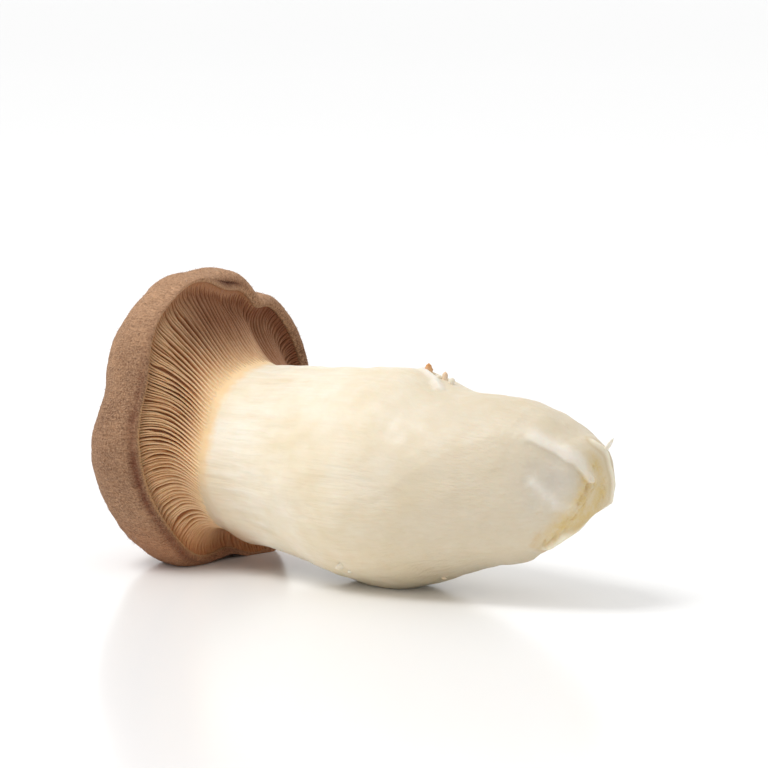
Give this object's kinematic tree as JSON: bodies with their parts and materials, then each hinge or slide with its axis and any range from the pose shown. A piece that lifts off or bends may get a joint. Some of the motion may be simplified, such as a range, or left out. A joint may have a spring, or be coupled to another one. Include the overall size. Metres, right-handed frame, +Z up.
{
  "type": "king oyster mushroom",
  "caption": "King oyster mushroom, as picked, lying on its side: felted brown cap with a rolled rim, a trumpet of gills, and a stout white stem with a cut base.",
  "frame": {"origin": "on the surface that the mushroom lies on, under the middle of its bounding box", "axes": "+X along the stem, from the cap to the cut base; +Z up; -Y is the side with the dent in the base"},
  "size_m": [0.127, 0.0656, 0.0668],
  "materials": {
    "flesh": "smooth, faintly fibrous, cream-white, satin",
    "cap_skin": "felted like suede, brown with paler speckles, matt",
    "gills": "thin soft blades, tan, matt"
  },
  "bodies": {
    "root": {"mushroom": "flesh"}
  },
  "joints": []
}
